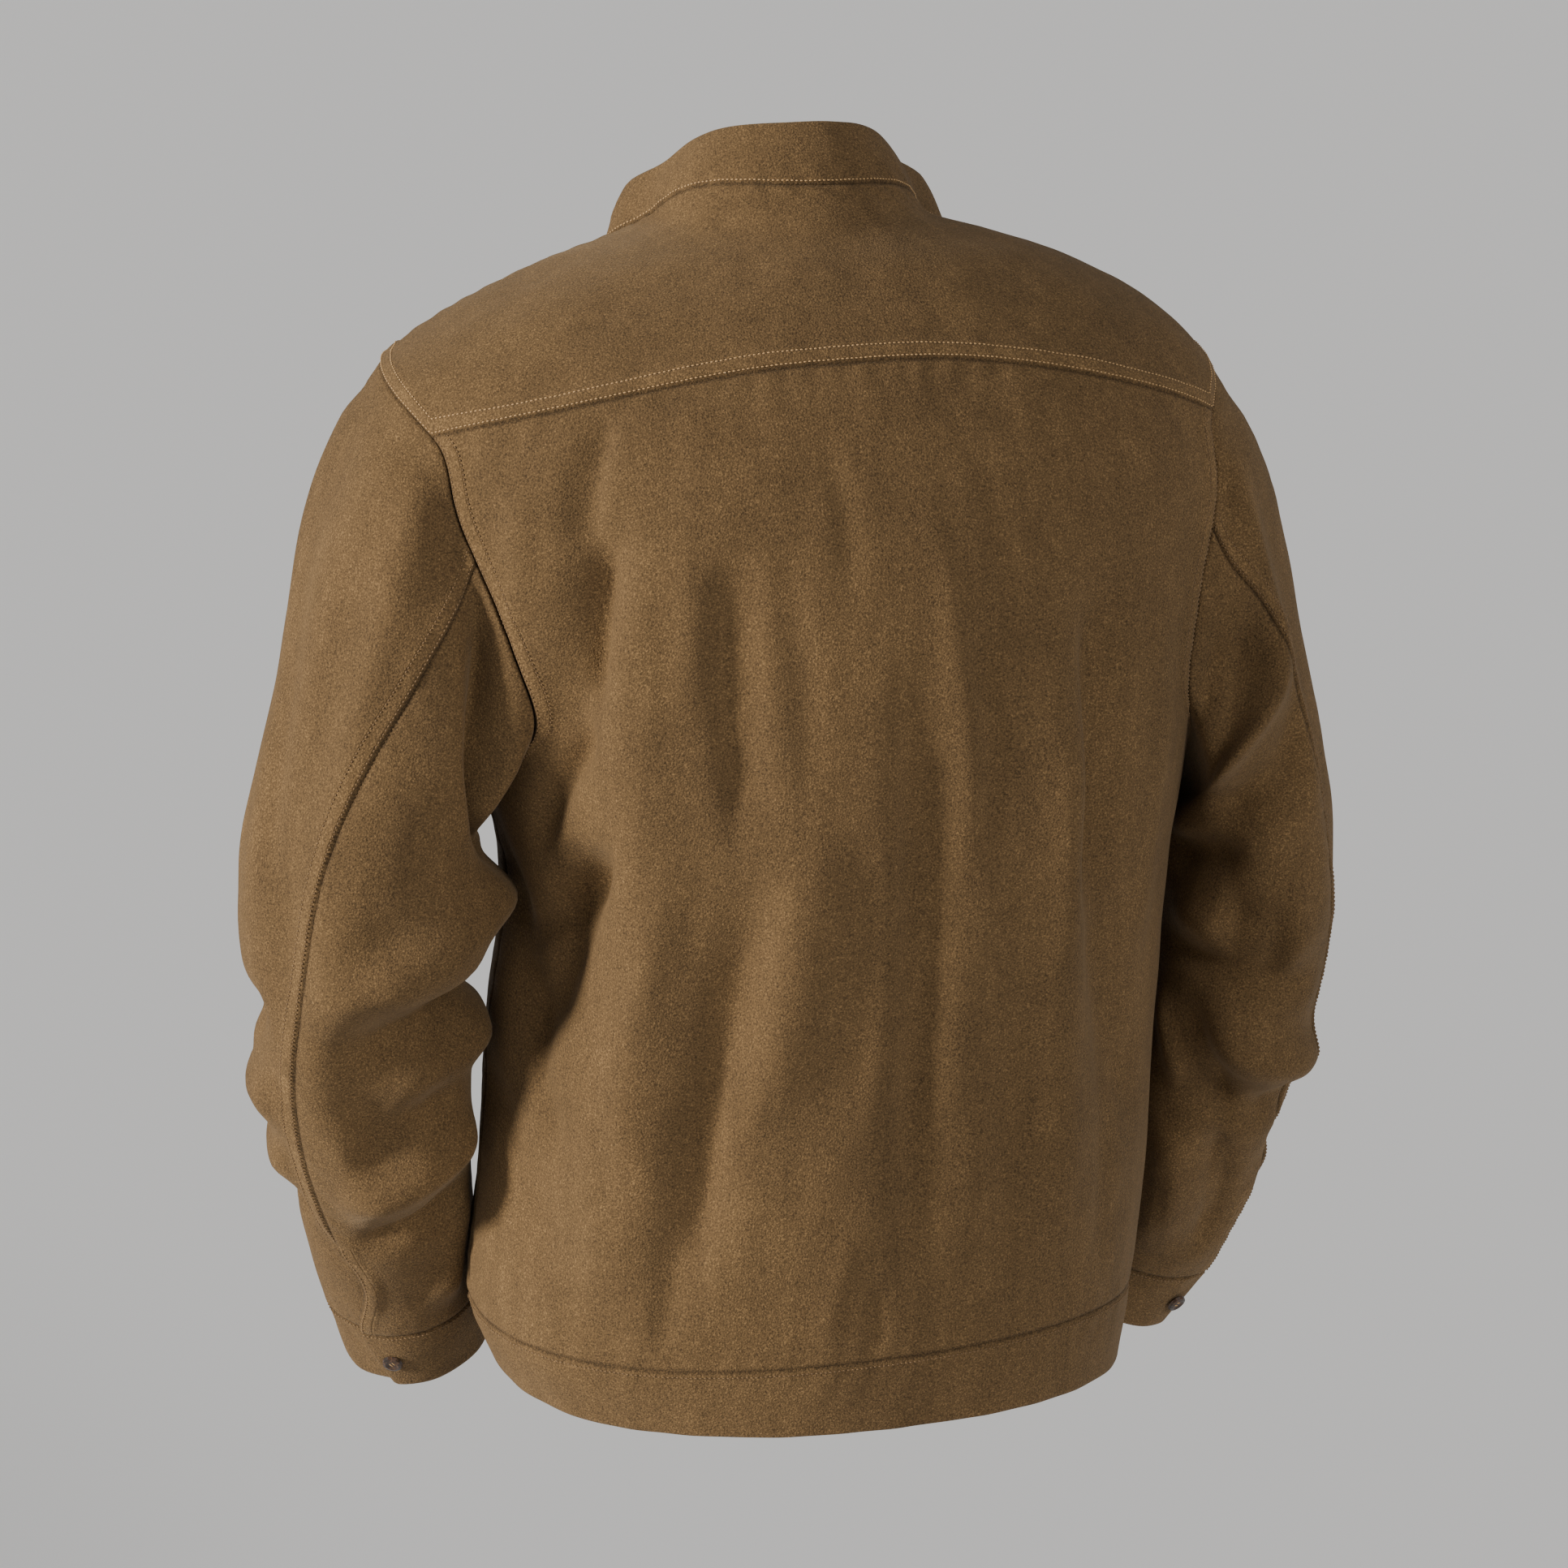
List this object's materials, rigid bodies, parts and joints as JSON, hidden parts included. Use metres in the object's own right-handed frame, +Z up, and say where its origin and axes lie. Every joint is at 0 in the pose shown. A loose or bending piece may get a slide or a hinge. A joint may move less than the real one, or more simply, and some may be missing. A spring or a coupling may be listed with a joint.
{
  "type": "jacket",
  "caption": "Brown suede button-front jacket with a stand collar, back yoke, two-piece sleeves, cuffs and hem band, filled out as worn and open inside",
  "frame": {"origin": "where the wearer's shoulders and neck hold the jacket up, at the middle of the neck opening", "axes": "X across the body towards the jacket's left, Y towards the back, Z up"},
  "size_m": [0.6193, 0.2887, 0.7197],
  "materials": {
    "suede": "napped suede, matt, mottled by the brushed nap",
    "button": "dark horn, satin"
  },
  "bodies": {
    "root": {"back_panel": "suede", "back_yoke": "suede", "collar": "suede", "hem_band": "suede", "left_front": "suede", "right_front": "suede", "left_upper_sleeve": "suede", "left_under_sleeve": "suede", "left_cuff": "suede", "right_upper_sleeve": "suede", "right_under_sleeve": "suede", "right_cuff": "suede", "front_button_1": "button", "front_button_2": "button", "front_button_3": "button", "front_button_4": "button", "front_button_5": "button", "front_button_6": "button", "collar_button": "button", "hem_button": "button", "left_cuff_button": "button", "right_cuff_button": "button"}
  },
  "joints": []
}
